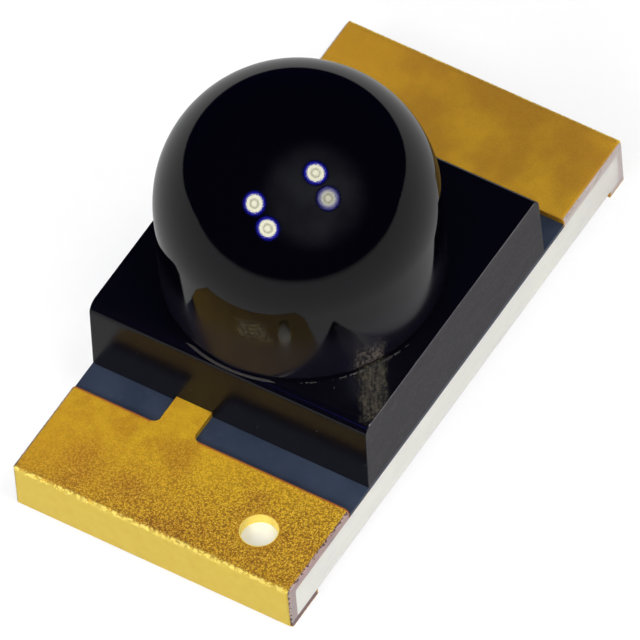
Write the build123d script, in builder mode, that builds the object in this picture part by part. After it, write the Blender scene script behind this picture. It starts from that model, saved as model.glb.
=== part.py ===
from build123d import *
import os
from math import radians, tan

# Surface mounted photodiode: a chip on a small white board, under a black moulding with a domed lens.
# X runs along the board from the near end (-X), which carries the chip, to the far end (+X).
# The board and the moulding are sawn flush on the two long sides, at -Y and +Y. Z is up.
# The origin is on the bottom of the solder feet, under the middle of the board. Millimetres.

# Board
board_length = 3.2
board_width = 1.6
core_thick = 0.20
top_copper = 0.052
end_copper = 0.055
foot_copper = 0.032
plating = 0.008
resist_thick = 0.025

# Contact pads on top, seen from the ends of the board, and solder feet below
pad_length = 0.575
near_foot_length = 0.25
far_foot_length = 0.15
saw_break = 0.018
outer_edge_radius = 0.024

# Necks that carry each pad under the moulding
neck_width = 0.205
neck_y = 0.208
neck_root_radius = 0.045
island_shoulder = 0.08

# Hole in the near pad that marks the chip's end
mark_diameter = 0.19
mark_from_end = 0.255
mark_from_side = 0.323

# Chip, its glue and its upper contact
die_side = 0.55
die_thick = 0.20
die_pad_margin = 0.06
glue_thick = 0.015
glue_foot = 0.05
glue_rise = 0.06
glue_lip = 0.006
anode_diameter = 0.11
anode_thick = 0.003
anode_inset = 0.10

# Landing of the wire on the far conductor
conductor_gap = 0.15
landing_length = 0.23

# Gold wire
wire_diameter = 0.025
ball_diameter = 0.075
ball_height = 0.02
loop_rise = 0.11
loop_lead = 0.15
loop_radius = 0.07
stitch_length = 0.07
stitch_width = 0.05
stitch_thick = 0.008

# Moulding
resist_strip = 0.185
mould_height = 0.475
end_draft = 2
end_edge_radius = 0.06
lens_side_margin = 0.085
lens_barrel = 0.50
lens_x = -0.095

# Levels
core_bottom = foot_copper + plating
core_top = core_bottom + core_thick
metal_top = core_top + top_copper + plating
mould_top = core_top + mould_height
die_bottom = metal_top + glue_thick
die_top = die_bottom + die_thick
anode_top = die_top + anode_thick

# Places along the board
half_length = board_length / 2
half_width = board_width / 2
core_half = half_length - end_copper - plating
pad_line = half_length - pad_length
mould_half = pad_line - resist_strip
lens_radius = half_width - lens_side_margin
die_x = lens_x
die_pad_length = die_side + 2 * die_pad_margin
island_width = max(2 * (neck_y + neck_width / 2 + island_shoulder), die_pad_length)
landing_x = die_x + die_pad_length / 2 + conductor_gap + landing_length / 2
anode_x = die_x + die_side / 2 - anode_inset

NEAR = -1
FAR = 1


def conductor_outline(end, island_x, island_length, grow):
    """Pad, neck and island of one conductor from above; grow is the plating that is added all round."""
    outer = half_length - plating
    inner = pad_line + plating
    neck_start = end * island_x
    bare_neck = neck_width - 2 * plating
    with BuildSketch() as outline:
        with Locations((end * (outer + inner) / 2, 0)):
            Rectangle(outer - inner, board_width)
        with Locations((end * (inner + neck_start) / 2, neck_y)):
            Rectangle(inner - neck_start, bare_neck)
        with Locations((island_x, 0)):
            Rectangle(island_length - 2 * plating, island_width - 2 * plating)
        roots = outline.vertices().filter_by(lambda v: abs(abs(v.Y - neck_y) - bare_neck / 2) < plating / 4)
        fillet(roots, radius=neck_root_radius)
        if grow > 0:
            offset(amount=grow, kind=Kind.INTERSECTION)
        Rectangle(board_length, board_width, mode=Mode.INTERSECT)
        if end == NEAR:
            with Locations((mark_from_end - half_length, mark_from_side - half_width)):
                Circle(mark_diameter / 2 + plating - grow, mode=Mode.SUBTRACT)
    return outline.sketch


def on_sawn_rim(edge):
    """True for the edges of a sawn side that run along the top of the metal and down its outer end."""
    place = edge.center()
    sawn = abs(abs(place.Y) - half_width) < plating / 8
    outside = abs(place.X) > core_half + plating and place.Z > core_bottom
    return sawn and (outside or place.Z > metal_top - plating / 8)


def conductor(end, outline, foot_length, grow):
    """One conductor: pad, neck and island on the board, wall over its end and solder foot below."""
    outer = half_length - plating + grow
    bottom = plating - grow
    foot_inner = half_length - foot_length + plating - grow
    with BuildPart() as metal:
        with BuildSketch(Plane.XY.offset(core_top)):
            add(outline)
        extrude(amount=top_copper + grow)
        with BuildSketch(Plane.XZ):
            with Locations((end * (core_half + outer) / 2, (bottom + core_top) / 2)):
                Rectangle(outer - core_half, core_top - bottom)
            with Locations((end * (foot_inner + outer) / 2, (bottom + core_bottom) / 2)):
                Rectangle(outer - foot_inner, core_bottom - bottom)
        extrude(amount=half_width, both=True)
        long_edges = metal.edges().filter_by(Axis.Y).sort_by(Axis.X, reverse=end == FAR)[:2]
        fillet(long_edges, radius=outer_edge_radius - plating + grow)
        if grow > 0:
            chamfer(metal.edges().filter_by(on_sawn_rim), length=saw_break)
    return metal.part


# White laminate core
with BuildPart() as laminate_core:
    with BuildSketch(Plane.XY.offset(core_bottom)):
        Rectangle(2 * core_half, board_width)
    extrude(amount=core_thick)

# Near conductor: copper that carries the chip, and the gold plated skin over it
near_bare = conductor_outline(NEAR, die_x, die_pad_length, 0)
near_plated = conductor_outline(NEAR, die_x, die_pad_length, plating)
near_whole = conductor(NEAR, near_plated, near_foot_length, plating)

with BuildPart() as near_copper:
    add(conductor(NEAR, near_bare, near_foot_length, 0))
    add(near_whole, mode=Mode.INTERSECT)

with BuildPart() as near_plating:
    add(near_whole)
    add(near_copper.part, mode=Mode.SUBTRACT)

# Far conductor: copper that takes the wire, and its gold plated skin
far_bare = conductor_outline(FAR, landing_x, landing_length, 0)
far_plated = conductor_outline(FAR, landing_x, landing_length, plating)
far_whole = conductor(FAR, far_plated, far_foot_length, plating)

with BuildPart() as far_copper:
    add(conductor(FAR, far_bare, far_foot_length, 0))
    add(far_whole, mode=Mode.INTERSECT)

with BuildPart() as far_plating:
    add(far_whole)
    add(far_copper.part, mode=Mode.SUBTRACT)

# Dark resist film between the pads, printed round the necks and islands
with BuildPart() as solder_resist:
    with BuildSketch(Plane.XY.offset(core_top)):
        Rectangle(2 * pad_line, board_width)
        add(near_plated, mode=Mode.SUBTRACT)
        add(far_plated, mode=Mode.SUBTRACT)
    extrude(amount=resist_thick)

# Silicon chip
with BuildPart() as photodiode_die:
    with BuildSketch(Plane.XY.offset(die_bottom)):
        with Locations((die_x, 0)):
            Rectangle(die_side, die_side)
    extrude(amount=die_thick)

# Conductive glue under the chip, drawn up its sides
with BuildPart() as die_attach:
    with BuildSketch(Plane.XY.offset(metal_top)):
        with Locations((die_x, 0)):
            RectangleRounded(die_side + 2 * glue_foot, die_side + 2 * glue_foot, glue_foot)
    with BuildSketch(Plane.XY.offset(die_bottom + glue_rise)):
        with Locations((die_x, 0)):
            RectangleRounded(die_side + 2 * glue_lip, die_side + 2 * glue_lip, glue_lip)
    loft()
    add(photodiode_die.part, mode=Mode.SUBTRACT)

# Aluminium contact on top of the chip
with BuildPart() as anode_pad:
    with BuildSketch(Plane.XY.offset(die_top)):
        with Locations((anode_x, 0)):
            Circle(anode_diameter / 2)
    extrude(amount=anode_thick)

# Gold wire: pressed ball on the chip, arched loop, and a stitch flattened on the landing
loop_top = anode_top + ball_height + loop_rise

with BuildPart() as bond_wire:
    with BuildSketch(Plane.XZ) as ball_profile:
        with Locations((anode_x + ball_diameter / 4, anode_top + ball_height / 2)):
            Rectangle(ball_diameter / 2, ball_height)
        chamfer(ball_profile.vertices().group_by(Axis.X)[-1], length=ball_height / 4)
    revolve(axis=Axis((anode_x, 0, 0), (0, 0, 1)))
    with BuildLine(Plane.XZ) as loop_path:
        FilletPolyline(
            (anode_x, anode_top + ball_height / 2),
            (anode_x, loop_top),
            (anode_x + loop_lead, loop_top),
            (landing_x - stitch_length / 2, metal_top + wire_diameter / 2),
            radius=loop_radius,
        )
    with BuildSketch(Plane(loop_path.line @ 0, z_dir=loop_path.line % 0)):
        Circle(wire_diameter / 2)
    sweep(path=loop_path.line)
    with BuildSketch(Plane.XY.offset(metal_top)):
        with Locations((landing_x, 0)):
            SlotOverall(stitch_length + stitch_width, stitch_width)
    extrude(amount=stitch_thick)
    with BuildSketch(Plane.XY.offset(metal_top)):
        Rectangle(board_length, board_width)
    extrude(amount=mould_height, mode=Mode.INTERSECT)

# Black moulding: block drafted at its ends and sawn on its sides, with the lens barrel and dome on top
with BuildPart() as encapsulant:
    with BuildSketch(Plane.XZ) as block_profile:
        end_lean = mould_height * tan(radians(end_draft))
        with BuildLine():
            Polyline(
                (-mould_half, core_top),
                (mould_half, core_top),
                (mould_half - end_lean, mould_top),
                (end_lean - mould_half, mould_top),
                close=True,
            )
        make_face()
        fillet(block_profile.vertices().group_by(Axis.Y)[-1], radius=end_edge_radius)
    extrude(amount=half_width, both=True)
    with BuildSketch(Plane.XZ) as lens_profile:
        barrel_bottom = mould_top - end_edge_radius
        barrel_top = mould_top + lens_barrel
        with BuildLine():
            rim = (lens_x + lens_radius, barrel_top)
            crown = (lens_x, barrel_top + lens_radius)
            Polyline(crown, (lens_x, barrel_bottom), (lens_x + lens_radius, barrel_bottom), rim)
            RadiusArc(rim, crown, -lens_radius)
        make_face()
    revolve(axis=Axis((lens_x, 0, 0), (0, 0, 1)))
    add(near_whole, mode=Mode.SUBTRACT)
    add(far_whole, mode=Mode.SUBTRACT)
    add(solder_resist.part, mode=Mode.SUBTRACT)
    add(die_attach.part, mode=Mode.SUBTRACT)
    add(photodiode_die.part, mode=Mode.SUBTRACT)
    add(anode_pad.part, mode=Mode.SUBTRACT)
    add(bond_wire.part, mode=Mode.SUBTRACT)

laminate_core.part.label = "laminate_core"
near_copper.part.label = "near_copper"
near_plating.part.label = "near_plating"
far_copper.part.label = "far_copper"
far_plating.part.label = "far_plating"
solder_resist.part.label = "solder_resist"
die_attach.part.label = "die_attach"
photodiode_die.part.label = "photodiode_die"
anode_pad.part.label = "anode_pad"
bond_wire.part.label = "bond_wire"
encapsulant.part.label = "encapsulant"

os.makedirs("parts", exist_ok=True)
export_step(laminate_core.part, "parts/laminate_core.step")
export_step(near_copper.part, "parts/near_copper.step")
export_step(near_plating.part, "parts/near_plating.step")
export_step(far_copper.part, "parts/far_copper.step")
export_step(far_plating.part, "parts/far_plating.step")
export_step(solder_resist.part, "parts/solder_resist.step")
export_step(die_attach.part, "parts/die_attach.step")
export_step(photodiode_die.part, "parts/photodiode_die.step")
export_step(anode_pad.part, "parts/anode_pad.step")
export_step(bond_wire.part, "parts/bond_wire.step")
export_step(encapsulant.part, "parts/encapsulant.step")
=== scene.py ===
"""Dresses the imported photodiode: gold-ended white board, black block, short barrel and half-ball lens.

Sizes in the classes are in millimetres, as on a maker's drawing. Each mesh is modelled in millimetres and
brought to metres when it is finished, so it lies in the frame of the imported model, with X along the board
from the end with the mark hole, the sawn long sides at -Y and +Y, and Z up.
"""

import logging
import math
from dataclasses import dataclass, field
from enum import Enum
from typing import Iterable, Optional, Sequence, Union

import bmesh
import bpy
from mathutils import Matrix, Vector, noise

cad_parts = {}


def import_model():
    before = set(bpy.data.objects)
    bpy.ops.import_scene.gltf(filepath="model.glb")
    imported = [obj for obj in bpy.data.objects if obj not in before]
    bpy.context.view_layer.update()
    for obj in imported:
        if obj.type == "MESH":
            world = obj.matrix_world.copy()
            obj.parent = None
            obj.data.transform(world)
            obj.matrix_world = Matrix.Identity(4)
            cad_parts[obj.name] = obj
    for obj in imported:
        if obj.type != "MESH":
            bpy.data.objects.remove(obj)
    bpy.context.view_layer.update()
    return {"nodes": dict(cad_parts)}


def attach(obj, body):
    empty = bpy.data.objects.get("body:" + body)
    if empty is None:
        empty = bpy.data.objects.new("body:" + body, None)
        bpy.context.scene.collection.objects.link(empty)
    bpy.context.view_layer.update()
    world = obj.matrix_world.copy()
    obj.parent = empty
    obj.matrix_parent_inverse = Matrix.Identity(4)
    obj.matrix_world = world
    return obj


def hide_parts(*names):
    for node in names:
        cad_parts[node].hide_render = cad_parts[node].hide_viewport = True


LOG = logging.getLogger("photodiode")
METRE = 0.001
BODY = "root"

Colour = tuple[float, float, float]
Point = tuple[float, float, float]
Value = Union[float, bpy.types.NodeSocket]


class End(Enum):
    """The two ends of the board; the value is the sign of X."""

    NEAR = -1
    FAR = 1


class Slot(Enum):
    """Material slots of the record that the new pieces take."""

    COPPER = "copper"
    GOLD = "gold_plating"
    RESIST = "resist"
    EPOXY = "black_epoxy"


class Cut(Enum):
    """Which face of the block a patch of the moulding belongs to; the value is its material index."""

    LENS = 0
    BLOCK = 1
    SAWN = 2


# Mesh helpers


def faces_on(bm: bmesh.types.BMesh, axis: int, level: float) -> list[bmesh.types.BMFace]:
    """Finds the faces that lie wholly in one plane square to an axis.

    Args:
        bm: The mesh, in millimetres.
        axis: 0, 1 or 2 for X, Y or Z.
        level: Where the plane crosses that axis.

    Returns:
        The faces in that plane.
    """
    return [f for f in bm.faces if all(abs(v.co[axis] - level) < 1e-4 for v in f.verts)]


def cut_faces(
    bm: bmesh.types.BMesh, faces: Iterable[bmesh.types.BMFace], point: Point, normal: Point
) -> None:
    """Scores some faces along a plane, and leaves the rest of the mesh whole.

    Args:
        bm: The mesh, in millimetres.
        faces: The faces to score.
        point: A point of the plane.
        normal: The plane's normal.
    """
    chosen = set(faces)
    geometry = list(chosen)
    geometry += list({e for f in chosen for e in f.edges})
    geometry += list({v for f in chosen for v in f.verts})
    bmesh.ops.bisect_plane(bm, geom=geometry, dist=1e-5, plane_co=point, plane_no=normal)


def trim(bm: bmesh.types.BMesh, point: Point, normal: Point) -> None:
    """Saws off what lies in front of a plane and closes the cut.

    Args:
        bm: The mesh, in millimetres.
        point: A point of the plane.
        normal: The plane's normal, towards the waste.
    """
    everything = bm.faces[:] + bm.edges[:] + bm.verts[:]
    done = bmesh.ops.bisect_plane(
        bm, geom=everything, dist=1e-6, plane_co=point, plane_no=normal, clear_outer=True
    )
    rim = [e for e in done["geom_cut"] if isinstance(e, bmesh.types.BMEdge) and e.is_boundary]
    if rim:
        bmesh.ops.edgeloop_fill(bm, edges=rim)


def pull(
    bm: bmesh.types.BMesh, faces: Sequence[bmesh.types.BMFace], travel: Point, keep: bool = True
) -> None:
    """Extrudes faces and moves the new ones.

    Args:
        bm: The mesh, in millimetres.
        faces: The faces to extrude as one region.
        travel: How far the extruded faces move.
        keep: Whether the first faces stay, to close the other end of a sheet that becomes a slab.
    """
    grown = bmesh.ops.extrude_face_region(bm, geom=list(faces))
    tips = [v for v in grown["geom"] if isinstance(v, bmesh.types.BMVert)]
    bmesh.ops.translate(bm, verts=tips, vec=travel)
    if not keep:
        bmesh.ops.delete(bm, geom=list(faces), context="FACES_ONLY")


def combine(
    first: bmesh.types.BMesh, second: bmesh.types.BMesh, operation: str, slots: int = 1
) -> bmesh.types.BMesh:
    """Unites two closed forms, or takes the second out of the first.

    Args:
        first: The first form, in millimetres; it is freed here.
        second: The second form, in millimetres; it is freed here.
        operation: UNION or DIFFERENCE.
        slots: How many material indices the forms use.

    Returns:
        The new form, in millimetres.
    """
    holders = []
    for number, form in enumerate((first, second)):
        mesh = bpy.data.meshes.new(f"operand_{number}")
        form.to_mesh(mesh)
        form.free()
        for index in range(slots):
            name = f"operand_{index}"
            mesh.materials.append(bpy.data.materials.get(name) or bpy.data.materials.new(name))
        holder = bpy.data.objects.new(f"operand_{number}", mesh)
        bpy.context.scene.collection.objects.link(holder)
        holders.append(holder)
    modifier = holders[0].modifiers.new("combine", "BOOLEAN")
    modifier.operation = operation
    modifier.solver = "EXACT"
    modifier.object = holders[1]
    bpy.context.view_layer.update()
    whole = bpy.data.meshes.new_from_object(holders[0].evaluated_get(bpy.context.evaluated_depsgraph_get()))
    bm = bmesh.new()
    bm.from_mesh(whole)
    bpy.data.meshes.remove(whole)
    for holder in holders:
        mesh = holder.data
        bpy.data.objects.remove(holder)
        bpy.data.meshes.remove(mesh)
    return bm


def round_edges(
    bm: bmesh.types.BMesh, edges: Sequence[bmesh.types.BMEdge], radius: float, segments: int
) -> None:
    """Rounds edges with an arc.

    Args:
        bm: The mesh, in millimetres.
        edges: The edges to round.
        radius: The radius of the rounding.
        segments: How many facets the arc has.
    """
    bmesh.ops.bevel(
        bm,
        geom=list(edges),
        offset=radius,
        offset_type="OFFSET",
        segments=segments,
        profile=0.5,
        affect="EDGES",
        clamp_overlap=True,
        material=-1,
    )


def edges_along(
    bm: bmesh.types.BMesh, axis: int, fixed: dict[int, float], near: float = 1e-4
) -> list[bmesh.types.BMEdge]:
    """Finds the edges that run along an axis at given levels of the other axes.

    Args:
        bm: The mesh, in millimetres.
        axis: The axis that the edges run along.
        fixed: Level by axis, for the axes that are held.
        near: How near a vertex has to be to its level.

    Returns:
        The edges found.
    """
    found = []
    for edge in bm.edges:
        a, b = edge.verts[0].co, edge.verts[1].co
        if abs(a[axis] - b[axis]) < 1e-3:
            continue
        if all(abs(p[k] - level) < near for p in (a, b) for k, level in fixed.items()):
            found.append(edge)
    return found


def finished(
    bm: bmesh.types.BMesh,
    name: str,
    materials: Sequence[bpy.types.Material],
    replaced: Sequence[str] = (),
    crease: float = 32.0,
    weighted: bool = True,
) -> bpy.types.Object:
    """Turns a mesh in millimetres into a piece of the scene, in metres, that rides on the part.

    Args:
        bm: The mesh, which is freed here.
        name: The piece's name.
        materials: Its materials, by index.
        replaced: The CAD nodes that it stands for.
        crease: Edges that turn more than this many degrees stay sharp.
        weighted: Whether large faces keep their shading flat next to small roundings.

    Returns:
        The piece.
    """
    bmesh.ops.scale(bm, vec=(METRE, METRE, METRE), verts=bm.verts[:])
    for face in bm.faces:
        face.smooth = True
    for edge in bm.edges:
        if len(edge.link_faces) == 2:
            edge.smooth = edge.calc_face_angle(math.pi) < math.radians(crease)
    mesh = bpy.data.meshes.new(name)
    bm.to_mesh(mesh)
    bm.free()
    for material in materials:
        mesh.materials.append(material)
    piece = bpy.data.objects.new(name, mesh)
    bpy.context.scene.collection.objects.link(piece)
    if weighted:
        modifier = piece.modifiers.new("flat_faces", "WEIGHTED_NORMAL")
        modifier.keep_sharp = True
    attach(piece, BODY)
    if replaced:
        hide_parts(*replaced)
    LOG.info("%s: %d faces, stands for %s", name, len(mesh.polygons), ", ".join(replaced) or "no CAD node")
    return piece


# Shader nodes and the effects that finishes share


class NodeSketch:
    """Adds and joins nodes in one node tree."""

    def __init__(self, tree: bpy.types.NodeTree) -> None:
        """Starts with an empty tree.

        Args:
            tree: The tree to fill.
        """
        self.tree = tree
        self.tree.nodes.clear()

    def add(self, kind: str, **settings: object) -> bpy.types.Node:
        """Adds a node.

        Args:
            kind: The node's type name.
            settings: Properties to set on it.

        Returns:
            The node.
        """
        node = self.tree.nodes.new(kind)
        for key, value in settings.items():
            setattr(node, key, value)
        return node

    def put(self, socket: bpy.types.NodeSocket, value: object) -> None:
        """Links a socket to another node, or sets its own value.

        Args:
            socket: The input to feed.
            value: An output socket, a number or a colour.
        """
        if isinstance(value, bpy.types.NodeSocket):
            self.tree.links.new(value, socket)
        elif isinstance(value, tuple) and len(value) == 3 and socket.type == "RGBA":
            socket.default_value = (*value, 1.0)
        else:
            socket.default_value = value

    def math(self, operation: str, *values: Value, clamp: bool = False) -> bpy.types.NodeSocket:
        """Adds a Math node.

        Args:
            operation: Its operation.
            values: Its inputs.
            clamp: Whether the result stays between 0 and 1.

        Returns:
            Its output.
        """
        node = self.add("ShaderNodeMath", operation=operation, use_clamp=clamp)
        for socket, value in zip(node.inputs, values):
            self.put(socket, value)
        return node.outputs[0]

    def span(
        self, value: Value, low: float, high: float, out_low: float = 0.0, out_high: float = 1.0
    ) -> bpy.types.NodeSocket:
        """Brings a range of values to another one, eased at both ends.

        Args:
            value: What to map.
            low: The value that gives out_low.
            high: The value that gives out_high.
            out_low: The result at low.
            out_high: The result at high.

        Returns:
            The mapped value.
        """
        node = self.add("ShaderNodeMapRange", interpolation_type="SMOOTHSTEP", clamp=True)
        for socket, number in zip(node.inputs, (value, low, high, out_low, out_high)):
            self.put(socket, number)
        return node.outputs[0]

    def blend(self, share: Value, first: object, second: object, mode: str = "MIX") -> bpy.types.NodeSocket:
        """Mixes two colours.

        Args:
            share: How much of the second one.
            first: The first colour.
            second: The second colour.
            mode: The blend mode.

        Returns:
            The mixed colour.
        """
        node = self.add("ShaderNodeMix", data_type="RGBA", blend_type=mode, clamp_factor=True)
        self.put(node.inputs["Factor"], share)
        self.put(node.inputs[6], first)
        self.put(node.inputs[7], second)
        return node.outputs[2]

    def noise(
        self, vector: bpy.types.NodeSocket, scale: Value, detail: float = 2.0, rough: float = 0.5
    ) -> bpy.types.NodeSocket:
        """Adds a noise texture.

        Args:
            vector: Where it is read.
            scale: Its scale.
            detail: How many octaves it has.
            rough: How strong the finer octaves are.

        Returns:
            Its value.
        """
        node = self.add("ShaderNodeTexNoise", noise_dimensions="3D")
        self.put(node.inputs["Vector"], vector)
        self.put(node.inputs["Scale"], scale)
        self.put(node.inputs["Detail"], detail)
        self.put(node.inputs["Roughness"], rough)
        return node.outputs["Fac"]


class Effect:
    """Node groups that several finishes share; each reads a place in millimetres."""

    _made: dict[str, bpy.types.NodeTree] = {}

    @classmethod
    def _group(cls, name: str, inputs: dict[str, float], outputs: Sequence[str]) -> Optional[NodeSketch]:
        """Starts a group with its sockets, or returns None where it is made already.

        Args:
            name: The group's name.
            inputs: Its number inputs and their first values; a vector input named Place comes before them.
            outputs: Its number outputs.

        Returns:
            A sketch in the new group, or None.
        """
        if name in cls._made:
            return None
        tree = bpy.data.node_groups.new(name, "ShaderNodeTree")
        tree.interface.new_socket(name="Place", in_out="INPUT", socket_type="NodeSocketVector")
        for label, value in inputs.items():
            socket = tree.interface.new_socket(name=label, in_out="INPUT", socket_type="NodeSocketFloat")
            socket.default_value = value
        for label in outputs:
            tree.interface.new_socket(name=label, in_out="OUTPUT", socket_type="NodeSocketFloat")
        cls._made[name] = tree
        return NodeSketch(tree)

    @classmethod
    def _close(cls, sketch: NodeSketch, values: dict[str, bpy.types.NodeSocket]) -> None:
        """Joins results to the group's outputs.

        Args:
            sketch: The group's sketch.
            values: Result by output name.
        """
        end = sketch.add("NodeGroupOutput")
        for label, value in values.items():
            sketch.put(end.inputs[label], value)

    @classmethod
    def grain(cls) -> bpy.types.NodeTree:
        """Crystal grain of a plated or cast surface: Height of the grains and Pits between them.

        Returns:
            The node group.
        """
        sketch = cls._group("crystal_grain", {"Size": 0.014, "Pitting": 0.5}, ["Height", "Pits"])
        if sketch:
            start = sketch.add("NodeGroupInput")
            scale = sketch.math("DIVIDE", 1.0, start.outputs["Size"])
            warp = sketch.add("ShaderNodeTexNoise", noise_dimensions="3D")
            sketch.put(warp.inputs["Vector"], start.outputs["Place"])
            sketch.put(warp.inputs["Scale"], sketch.math("MULTIPLY", scale, 0.6))
            moved = sketch.add("ShaderNodeVectorMath", operation="MULTIPLY_ADD")
            sketch.put(moved.inputs[0], warp.outputs["Color"])
            moved.inputs[1].default_value = (0.02, 0.02, 0.02)
            sketch.put(moved.inputs[2], start.outputs["Place"])
            cells = sketch.add("ShaderNodeTexVoronoi", feature="SMOOTH_F1")
            sketch.put(cells.inputs["Vector"], moved.outputs[0])
            sketch.put(cells.inputs["Scale"], scale)
            cells.inputs["Smoothness"].default_value = 0.35
            fine = sketch.noise(start.outputs["Place"], sketch.math("MULTIPLY", scale, 1.9), 3.0, 0.6)
            dome = sketch.math("SUBTRACT", 1.0, cells.outputs["Distance"])
            height = sketch.math("MULTIPLY_ADD", fine, 0.6, sketch.math("MULTIPLY", dome, 0.4))
            coarse = sketch.noise(start.outputs["Place"], sketch.math("MULTIPLY", scale, 0.8), 2.0, 0.6)
            edge = sketch.math("SUBTRACT", 0.72, sketch.math("MULTIPLY", start.outputs["Pitting"], 0.24))
            pits = sketch.span(sketch.math("SUBTRACT", coarse, edge), 0.0, 0.12)
            cls._close(sketch, {"Height": height, "Pits": pits})
        return cls._made["crystal_grain"]

    @classmethod
    def mottle(cls) -> bpy.types.NodeTree:
        """Slow change over a surface: Mask goes from 0 to 1 in soft patches.

        Returns:
            The node group.
        """
        sketch = cls._group("soft_mottle", {"Size": 0.3, "Contrast": 0.5}, ["Mask"])
        if sketch:
            start = sketch.add("NodeGroupInput")
            scale = sketch.math("DIVIDE", 1.0, start.outputs["Size"])
            value = sketch.noise(start.outputs["Place"], scale, 3.0, 0.55)
            centred = sketch.math("SUBTRACT", value, 0.5)
            gain = sketch.math("MULTIPLY_ADD", start.outputs["Contrast"], 5.0, 1.0)
            mask = sketch.math("MULTIPLY_ADD", centred, gain, 0.5, clamp=True)
            cls._close(sketch, {"Mask": mask})
        return cls._made["soft_mottle"]

    @classmethod
    def saw_marks(cls) -> bpy.types.NodeTree:
        """Marks of a dicing saw, long along X: Streak for tone, Height for relief, Chips for specks.

        Returns:
            The node group.
        """
        sketch = cls._group("saw_marks", {"Pitch": 0.012, "Chipping": 0.5}, ["Streak", "Height", "Chips"])
        if sketch:
            start = sketch.add("NodeGroupInput")
            drawn = sketch.add("ShaderNodeVectorMath", operation="MULTIPLY")
            sketch.put(drawn.inputs[0], start.outputs["Place"])
            drawn.inputs[1].default_value = (0.07, 1.0, 1.0)
            scale = sketch.math("DIVIDE", 1.0, start.outputs["Pitch"])
            streak = sketch.noise(drawn.outputs[0], scale, 3.0, 0.6)
            fine = sketch.noise(start.outputs["Place"], sketch.math("MULTIPLY", scale, 1.4), 2.0, 0.6)
            height = sketch.math("MULTIPLY_ADD", fine, 0.35, sketch.math("MULTIPLY", streak, 0.65))
            edge = sketch.math("SUBTRACT", 0.78, sketch.math("MULTIPLY", start.outputs["Chipping"], 0.2))
            chips = sketch.span(sketch.math("SUBTRACT", fine, edge), 0.0, 0.08)
            cls._close(sketch, {"Streak": streak, "Height": height, "Chips": chips})
        return cls._made["saw_marks"]


class Shader(NodeSketch):
    """A material with one Principled BSDF and a place in millimetres to hang patterns on."""

    def __init__(self, name: str) -> None:
        """Makes the material.

        Args:
            name: The material's name.
        """
        self.material = bpy.data.materials.new(name)
        self.material.use_nodes = True
        super().__init__(self.material.node_tree)
        self.surface = self.add("ShaderNodeBsdfPrincipled")
        self.output = self.add("ShaderNodeOutputMaterial")
        self.tree.links.new(self.surface.outputs[0], self.output.inputs["Surface"])
        coordinates = self.add("ShaderNodeTexCoord")
        mapping = self.add("ShaderNodeMapping")
        mapping.inputs["Scale"].default_value = (1 / METRE, 1 / METRE, 1 / METRE)
        self.put(mapping.inputs["Vector"], coordinates.outputs["Object"])
        self.place = mapping.outputs["Vector"]
        split = self.add("ShaderNodeSeparateXYZ")
        self.put(split.inputs[0], self.place)
        self.x, self.y, self.z = split.outputs

    def effect(self, group: bpy.types.NodeTree, **values: Value) -> bpy.types.NodeOutputs:
        """Places one of the shared effects.

        Args:
            group: The effect's node group.
            values: Its inputs by name.

        Returns:
            Its outputs.
        """
        node = self.add("ShaderNodeGroup")
        node.node_tree = group
        self.put(node.inputs["Place"], self.place)
        for label, value in values.items():
            self.put(node.inputs[label], value)
        return node.outputs

    def set(self, **values: object) -> None:
        """Feeds inputs of the Principled BSDF; an underscore in a name stands for a space.

        Args:
            values: Values or sockets by input name.
        """
        for label, value in values.items():
            self.put(self.surface.inputs[label.replace("_", " ")], value)

    def relief(
        self,
        height: bpy.types.NodeSocket,
        depth: float,
        below: Optional[bpy.types.NodeSocket] = None,
    ) -> bpy.types.NodeSocket:
        """Adds a Bump node.

        Args:
            height: The pattern that stands up.
            depth: Its height in millimetres.
            below: The normal of a coarser relief under it.

        Returns:
            The bumped normal.
        """
        node = self.add("ShaderNodeBump")
        node.inputs["Distance"].default_value = depth * METRE
        self.put(node.inputs["Height"], height)
        if below:
            self.put(node.inputs["Normal"], below)
        return node.outputs["Normal"]


# Finishes


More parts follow.
